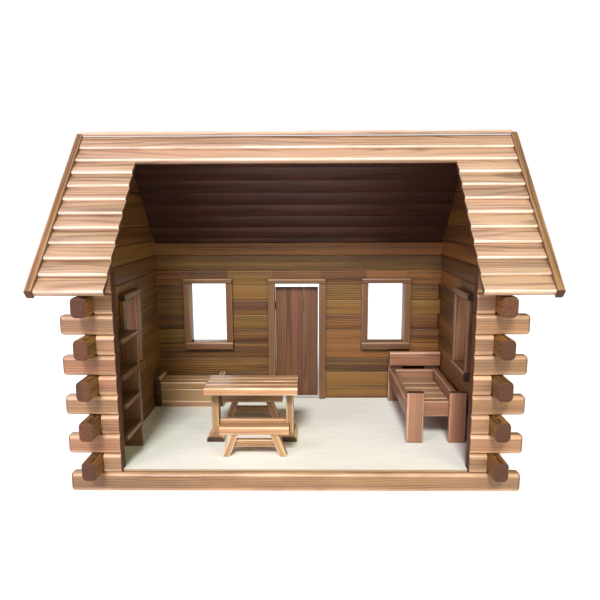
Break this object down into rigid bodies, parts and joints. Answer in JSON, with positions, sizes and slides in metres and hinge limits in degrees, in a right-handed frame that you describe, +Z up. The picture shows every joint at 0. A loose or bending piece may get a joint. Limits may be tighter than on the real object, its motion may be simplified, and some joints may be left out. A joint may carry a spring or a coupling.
{
  "type": "toy log cabin",
  "caption": "Open-fronted toy log cabin with a lapped-board roof, hinged back door, framed windows, shelf, lidded chest, table, benches and bed.",
  "frame": {"origin": "middle of the footprint (roof overhang included), at the level the lowest logs stand on", "axes": "+X to the right along the ridge as seen from the open front, +Y from the open front to the back wall with the door, +Z up"},
  "size_m": [0.622, 0.4338, 0.4625],
  "materials": {
    "log": "stained softwood logs under a thin satin varnish, dark end grain",
    "roof_board": "lighter golden softwood boards with a satin varnish and worn rounded edges",
    "trim": "dark red-brown stained strips, satin",
    "door": "dark stained upright boards, satin",
    "furniture": "stained softwood with rounded edges, satin varnish",
    "floor_ply": "pale untreated plywood, matt",
    "hinge_metal": "dull brass-plated steel hinges and nails"
  },
  "bodies": {
    "house": {"front_sill_log": "log", "front_stubs_left": "log", "front_stubs_right": "log", "wall_left": "log", "wall_right": "log", "wall_back": "log", "floor_panel": "floor_ply", "floor_bearer": "log", "roof_front": "roof_board", "roof_back": "roof_board", "ridge_strip": "roof_board", "rake_trim_front_left": "roof_board", "rake_trim_front_right": "roof_board", "rake_trim_back_left": "roof_board", "rake_trim_back_right": "roof_board", "door_frame": "trim", "window_frame_back_left": "trim", "window_frame_back_right": "trim", "window_frame_left": "trim", "window_frame_right": "trim", "door_hinge_lower_fixed": "hinge_metal", "door_hinge_upper_fixed": "hinge_metal", "shelf_panel": "furniture", "shelf_top": "furniture", "shelf_board_1": "furniture", "shelf_board_2": "furniture", "shelf_board_3": "furniture"},
    "door": {"door_leaf": "door", "door_batten_lower": "door", "door_batten_upper": "door", "door_hinge_lower_moving": "hinge_metal", "door_hinge_upper_moving": "hinge_metal"},
    "chest": {"chest_end_left": "furniture", "chest_end_right": "furniture", "chest_front": "furniture", "chest_back": "furniture", "chest_bottom": "furniture", "chest_pin_left": "hinge_metal", "chest_pin_right": "hinge_metal"},
    "chest_lid": {"chest_lid": "furniture"},
    "table": {"table_top": "furniture", "table_trestle_left": "furniture", "table_trestle_right": "furniture", "table_stretcher": "furniture"},
    "bench_front": {"bench_front_seat": "furniture", "bench_front_frame": "furniture"},
    "bench_rear": {"bench_rear_seat": "furniture", "bench_rear_frame": "furniture"},
    "bed": {"bed_foot_post_left": "furniture", "bed_foot_post_right": "furniture", "bed_head_post_left": "furniture", "bed_head_post_right": "furniture", "bed_rail_left": "furniture", "bed_rail_right": "furniture", "bed_foot_rail": "furniture", "bed_head_rail": "furniture", "bed_deck": "furniture", "bed_head_slab": "furniture"}
  },
  "joints": [
    {"name": "door_swing", "type": "hinge", "parent": "house", "child": "door", "pos_m": [-0.0402, 0.1817, 0.127], "axis": [0, 0, 1], "range_deg": [0, 110]},
    {"name": "chest_slide", "type": "slide", "parent": "house", "child": "chest", "axis": [0, -1, 0], "range_m": [0, 0.06]},
    {"name": "lid_swing", "type": "hinge", "parent": "chest", "child": "chest_lid", "pos_m": [-0.1847, 0.15, 0.0663], "axis": [-1, 0, 0], "range_deg": [0, 85]},
    {"name": "table_slide", "type": "slide", "parent": "house", "child": "table", "axis": [-1, 0, 0], "range_m": [0, 0.08]},
    {"name": "bench_front_slide", "type": "slide", "parent": "house", "child": "bench_front", "axis": [0, -1, 0], "range_m": [0, 0.038]},
    {"name": "bench_rear_slide", "type": "slide", "parent": "house", "child": "bench_rear", "axis": [0, 1, 0], "range_m": [0, 0.08]},
    {"name": "bed_slide", "type": "slide", "parent": "house", "child": "bed", "axis": [-1, 0, 0], "range_m": [0, 0.12]}
  ]
}
